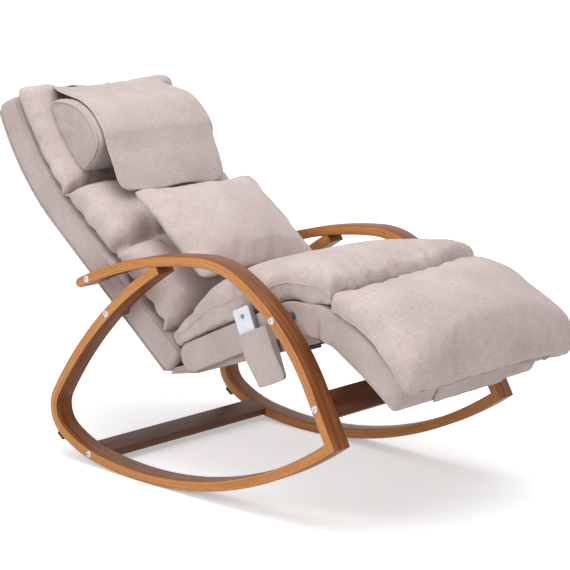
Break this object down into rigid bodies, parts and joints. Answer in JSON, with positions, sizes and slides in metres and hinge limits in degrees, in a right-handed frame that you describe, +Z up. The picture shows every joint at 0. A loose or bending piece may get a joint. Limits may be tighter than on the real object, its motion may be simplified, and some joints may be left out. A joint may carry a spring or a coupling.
{
  "type": "rocking massage chair",
  "caption": "Bentwood rocking massage chair with a padded back, seat and tilting legrest, neck pillow, throw cushion, kneading unit and pocketed remote.",
  "frame": {"origin": "middle of the chair's outline on the floor", "axes": "+X towards the feet, +Y to the sitter's left, +Z up; the remote's pocket is on the -Y side"},
  "size_m": [1.4229, 0.666, 0.9299],
  "materials": {
    "oiled_beech": "clear satin lacquer over honey stained bent laminate",
    "dark_beech": "satin lacquer over dark stain",
    "bright_steel": "bright plated",
    "grey_steel": "grey powder coat",
    "rubber": "matte",
    "linen": "woven linen look, taupe",
    "linen_under": "the same cloth on the underside",
    "webbing": "black elastic webbing",
    "foam": "open foam sheet",
    "black_plastic": "matte",
    "grey_plastic": "matte",
    "motor_steel": "satin",
    "wrapped_board": "board wrapped in the linen-look cloth",
    "cast_alloy": "as cast",
    "pale_plastic": "gloss",
    "blue_plastic": "gloss",
    "plywood": "bare",
    "remote_grey": "satin"
  },
  "bodies": {
    "frame": {"left_arm": "oiled_beech", "right_arm": "oiled_beech", "left_rocker": "oiled_beech", "right_rocker": "oiled_beech", "front_crossbar": "dark_beech", "rear_crossbar": "dark_beech", "frame_bolts": "bright_steel", "barrel_nuts": "bright_steel", "spacers": "black_plastic", "rocker_stops": "rubber", "seat_frame": "grey_steel", "seat_side_panels": "linen", "seat_tray": "linen_under", "seat_webbing": "webbing", "seat_foam": "foam", "seat_pad": "linen", "corner_brackets": "grey_steel", "weld_nuts": "bright_steel", "control_box": "grey_plastic", "power_inlet": "black_plastic", "seat_vibrator": "motor_steel", "back_shell": "wrapped_board", "back_frame": "grey_steel", "guide_rods": "bright_steel", "rod_brackets": "grey_steel", "lift_motor": "motor_steel", "back_pad": "linen", "head_pad": "linen", "hinge_pins": "bright_steel", "remote_pocket": "linen"},
    "power_switch": {"power_switch": "black_plastic"},
    "lead_screw": {"lead_screw": "bright_steel"},
    "carriage": {"carriage_plate": "grey_steel", "carriage_blocks": "black_plastic", "kneading_gearbox": "cast_alloy", "kneading_motor": "motor_steel"},
    "left_kneader": {"left_kneading_disc": "pale_plastic", "left_massage_balls": "blue_plastic"},
    "right_kneader": {"right_kneading_disc": "pale_plastic", "right_massage_balls": "blue_plastic"},
    "legrest": {"legrest_shell": "linen", "legrest_frame": "grey_steel", "legrest_deck": "plywood", "calf_pad": "linen", "legrest_flap": "linen_under", "calf_vibrator": "motor_steel"},
    "headrest": {"neck_pillow": "linen", "pillow_flap": "linen"},
    "throw_cushion": {"throw_cushion": "linen"},
    "remote": {"remote_shell": "remote_grey", "remote_faceplate": "pale_plastic"},
    "remote_button": {"remote_button": "grey_plastic"}
  },
  "joints": [
    {"name": "legrest_lift", "type": "hinge", "parent": "frame", "child": "legrest", "pos_m": [0.42702, 0, 0.4917], "axis": [0, -1, 0], "range_deg": [0, 20]},
    {"name": "headrest_slide", "type": "hinge", "parent": "frame", "child": "headrest", "pos_m": [-0.08694, 0, 1.12145], "axis": [0, 1, 0], "range_deg": [0, 4.5]},
    {"name": "cushion_lift", "type": "slide", "parent": "frame", "child": "throw_cushion", "axis": [0.6157, 0, 0.788], "range_m": [0, 0.25]},
    {"name": "remote_lift", "type": "slide", "parent": "frame", "child": "remote", "axis": [-0.4147, 0, 0.91], "range_m": [0, 0.06]},
    {"name": "button_press", "type": "slide", "parent": "remote", "child": "remote_button", "axis": [0, 1, 0], "range_m": [0, 0.0008], "stiffness_N_per_m": 400},
    {"name": "switch_rock", "type": "hinge", "parent": "frame", "child": "power_switch", "pos_m": [0.06539, 0.14, 0.29908], "axis": [0, 1, 0], "range_deg": [-9, 9]},
    {"name": "carriage_slide", "type": "slide", "parent": "frame", "child": "carriage", "axis": [-0.788, 0, 0.6157], "range_m": [-0.1, 0.1]},
    {"name": "screw_turn", "type": "hinge", "parent": "frame", "child": "lead_screw", "pos_m": [-0.31386, 0, 0.4688], "axis": [-0.788, 0, 0.6157], "range_deg": [-4600, 4600]},
    {"name": "left_knead", "type": "hinge", "parent": "carriage", "child": "left_kneader", "pos_m": [-0.28184, 0.062, 0.50978], "axis": [0.6157, 0, 0.788], "continuous": true},
    {"name": "right_knead", "type": "hinge", "parent": "carriage", "child": "right_kneader", "pos_m": [-0.28184, -0.062, 0.50978], "axis": [0.6157, 0, 0.788], "continuous": true}
  ],
  "couplings": [
    {"joint": "screw_turn", "follows": "carriage_slide", "rad_per_m": 785.4},
    {"joint": "right_knead", "follows": "left_knead", "ratio": -1}
  ]
}
